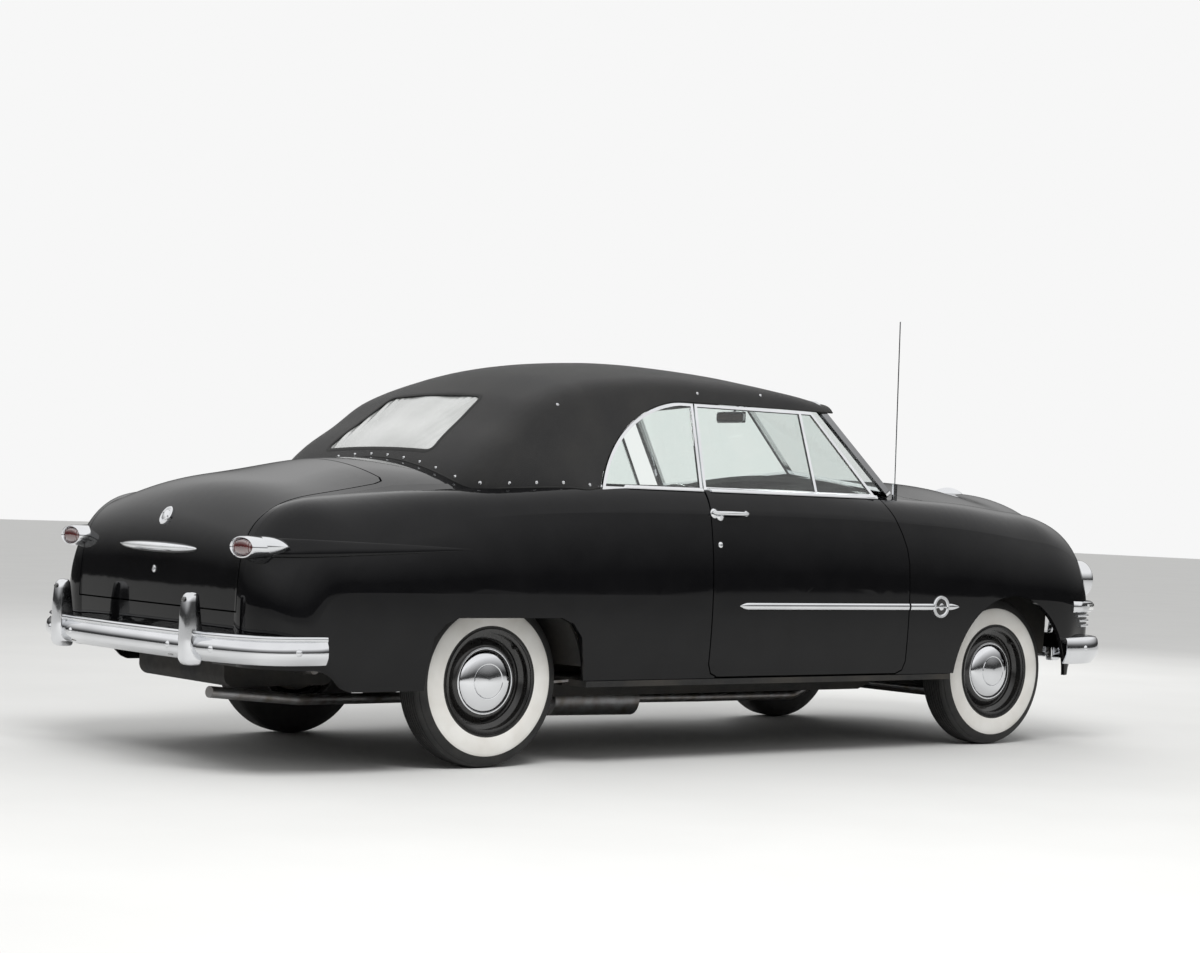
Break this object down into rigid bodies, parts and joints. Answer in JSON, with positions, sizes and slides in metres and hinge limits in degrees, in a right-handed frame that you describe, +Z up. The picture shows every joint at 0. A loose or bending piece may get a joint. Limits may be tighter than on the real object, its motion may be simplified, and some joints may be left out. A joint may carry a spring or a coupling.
{
  "type": "two-door convertible car of the early 1950s, fabric top up",
  "caption": "Full-size two-door convertible with the fabric top raised; doors, hood and trunk lid open, wheels roll and the front pair steers.",
  "frame": {"origin": "on the ground under the middle of the car", "axes": "+X forward, +Y to the left of the car, +Z up"},
  "size_m": [4.95, 1.86, 1.92],
  "materials": {
    "body_paint": "gloss",
    "frame_paint": "satin",
    "chrome": "polished",
    "steel": "satin",
    "cast_iron": "cast",
    "cloth": "matte weave",
    "clear_glass": "clear",
    "vinyl_window": "creased clear sheet",
    "seat_vinyl": "grained",
    "tyre": "black with a white band",
    "wheel_paint": "gloss",
    "dark_plastic": "gloss",
    "light_lens": "fluted",
    "mirror": "polished"
  },
  "bodies": {
    "body": {"antenna": "chrome", "chassis_frame": "frame_paint", "cowl": "body_paint", "dashboard": "dark_plastic", "deck_panel": "body_paint", "door_hinges": "steel", "engine": "cast_iron", "exhaust": "steel", "floor_pan": "frame_paint", "folding_top": "cloth", "front_bumper": "chrome", "front_fender_left": "body_paint", "front_fender_right": "body_paint", "front_panel": "body_paint", "front_seat": "seat_vinyl", "front_suspension": "cast_iron", "fuel_tank": "frame_paint", "grille": "chrome", "headlights": "light_lens", "leaf_springs": "steel", "lid_hinges": "steel", "propeller_shaft": "steel", "quarter_panel_left": "body_paint", "quarter_panel_right": "body_paint", "quarter_windows": "clear_glass", "radiator": "frame_paint", "rear_axle": "cast_iron", "rear_bumper": "chrome", "rear_seat": "seat_vinyl", "rear_view_mirror": "mirror", "rear_window": "vinyl_window", "steering_column": "dark_plastic", "tail_lights": "light_lens", "top_bows": "frame_paint", "windshield_frame": "chrome", "windshield_glass": "clear_glass"},
    "left_door": {"door_left": "body_paint", "door_window_left": "clear_glass"},
    "right_door": {"door_right": "body_paint", "door_window_right": "clear_glass"},
    "engine_hood": {"hood": "body_paint"},
    "rear_lid": {"trunk_lid": "body_paint"},
    "left_knuckle": {"knuckle_left": "cast_iron"},
    "right_knuckle": {"knuckle_right": "cast_iron"},
    "track_rod": {"tie_rod": "steel"},
    "hand_wheel": {"steering_wheel": "dark_plastic"},
    "left_front_wheel": {"tyre_front_left": "tyre", "wheel_front_left": "wheel_paint"},
    "right_front_wheel": {"tyre_front_right": "tyre", "wheel_front_right": "wheel_paint"},
    "left_rear_wheel": {"tyre_rear_left": "tyre", "wheel_rear_left": "wheel_paint"},
    "right_rear_wheel": {"tyre_rear_right": "tyre", "wheel_rear_right": "wheel_paint"}
  },
  "joints": [
    {"name": "left_door_hinge", "type": "hinge", "parent": "body", "child": "left_door", "pos_m": [0.8735, 0.905, 0.64], "axis": [0, 0, -1], "range_deg": [0, 65]},
    {"name": "right_door_hinge", "type": "hinge", "parent": "body", "child": "right_door", "pos_m": [0.8735, -0.905, 0.64], "axis": [0, 0, 1], "range_deg": [0, 65]},
    {"name": "hood_hinge", "type": "hinge", "parent": "body", "child": "engine_hood", "pos_m": [1.175, 0, 1.20202], "axis": [0, -1, 0], "range_deg": [0, 50]},
    {"name": "trunk_hinge", "type": "hinge", "parent": "body", "child": "rear_lid", "pos_m": [-1.683, 0, 1.17095], "axis": [0, 1, 0], "range_deg": [0, 60]},
    {"name": "left_steer", "type": "hinge", "parent": "body", "child": "left_knuckle", "pos_m": [1.646, 0.636, 0.341], "axis": [0, 0, 1], "range_deg": [-30, 30]},
    {"name": "right_steer", "type": "hinge", "parent": "body", "child": "right_knuckle", "pos_m": [1.646, -0.636, 0.341], "axis": [0, 0, 1], "range_deg": [-30, 30]},
    {"name": "tie_rod_travel", "type": "slide", "parent": "body", "child": "track_rod", "axis": [0, 1, 0], "range_m": [-0.105, 0.105]},
    {"name": "steering_wheel_turn", "type": "hinge", "parent": "body", "child": "hand_wheel", "pos_m": [0.58, 0.37, 0.945], "axis": [-0.8799, 0, 0.4751], "range_deg": [-545, 545]},
    {"name": "left_front_spin", "type": "hinge", "parent": "left_knuckle", "child": "left_front_wheel", "pos_m": [1.646, 0.711, 0.341], "axis": [0, 1, 0], "continuous": true},
    {"name": "right_front_spin", "type": "hinge", "parent": "right_knuckle", "child": "right_front_wheel", "pos_m": [1.646, -0.711, 0.341], "axis": [0, 1, 0], "continuous": true},
    {"name": "left_rear_spin", "type": "hinge", "parent": "body", "child": "left_rear_wheel", "pos_m": [-1.25, 0.711, 0.341], "axis": [0, 1, 0], "continuous": true},
    {"name": "right_rear_spin", "type": "hinge", "parent": "body", "child": "right_rear_wheel", "pos_m": [-1.25, -0.711, 0.341], "axis": [0, 1, 0], "continuous": true}
  ],
  "couplings": [
    {"joint": "right_steer", "follows": "left_steer", "ratio": 1},
    {"joint": "tie_rod_travel", "follows": "left_steer", "m_per_rad": -0.19},
    {"joint": "steering_wheel_turn", "follows": "left_steer", "ratio": 18}
  ]
}
